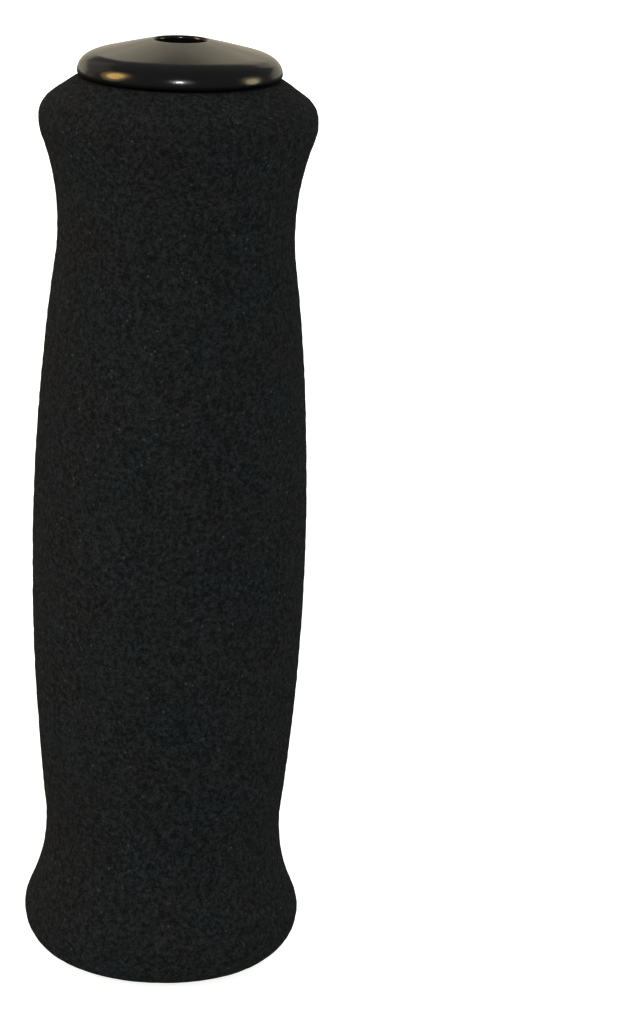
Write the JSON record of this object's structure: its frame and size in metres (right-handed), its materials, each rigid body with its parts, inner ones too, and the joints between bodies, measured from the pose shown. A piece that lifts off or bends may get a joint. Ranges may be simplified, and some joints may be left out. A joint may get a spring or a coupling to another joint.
{
  "type": "scooter handlebar grip",
  "caption": "Tubular black foam grip with a flange at each end, two waists and a long belly, closed by a glossy domed plug with a hole in its crown.",
  "frame": {"origin": "centre of the ring that the grip stands on, at the open end of the sleeve's bore, which is the end nearest the middle of the handlebar", "axes": "+Z along the handlebar, from the sleeve's open end to the plug; X and Y are alike on a turned part, and point across two opposite slots of the plug's shank"},
  "size_m": [0.0356, 0.0356, 0.12],
  "materials": {
    "foam": "closed-cell foam with a ground, velvety skin, very matt, charcoal black with fine lighter flecks",
    "plug_plastic": "black moulded plastic with a polished surface"
  },
  "bodies": {
    "root": {"foam_sleeve": "foam", "end_plug": "plug_plastic"}
  },
  "joints": []
}
